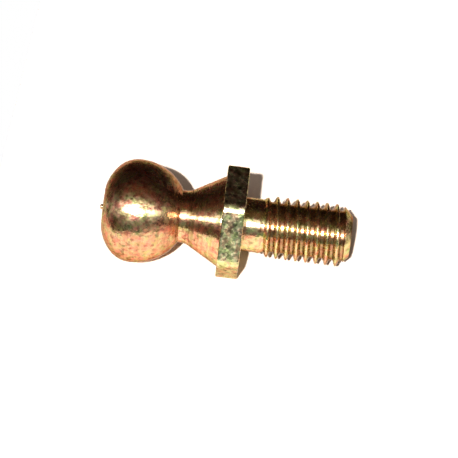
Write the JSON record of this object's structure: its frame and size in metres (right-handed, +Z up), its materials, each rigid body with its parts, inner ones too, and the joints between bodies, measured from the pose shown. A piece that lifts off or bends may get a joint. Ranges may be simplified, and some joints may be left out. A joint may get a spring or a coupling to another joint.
{
  "type": "ball stud",
  "caption": "Ball stud for a ball joint or rod end: flattened ball, tapered neck, hex collar and right-hand threaded shank, lying on its side.",
  "frame": {"origin": "bottom centre of the bounding box, on the surface that the stud lies on, below its axis", "axes": "+X along the stud from the ball to the thread end, +Z up, normal to the hex flat that it lies on"},
  "size_m": [0.0316, 0.0146, 0.013],
  "materials": {
    "ball_plating": "bright zinc plate with mottled yellow passivation, fine turning marks",
    "neck_plating": "bright zinc plate with yellow passivation, fine turning marks",
    "collar_plating": "mottled yellow and olive passivation on drawn hex bar",
    "shank_plating": "yellow passivation on a rolled thread"
  },
  "bodies": {
    "root": {"ball_head": "ball_plating", "taper_neck": "neck_plating", "hex_collar": "collar_plating", "threaded_shank": "shank_plating"}
  },
  "joints": []
}
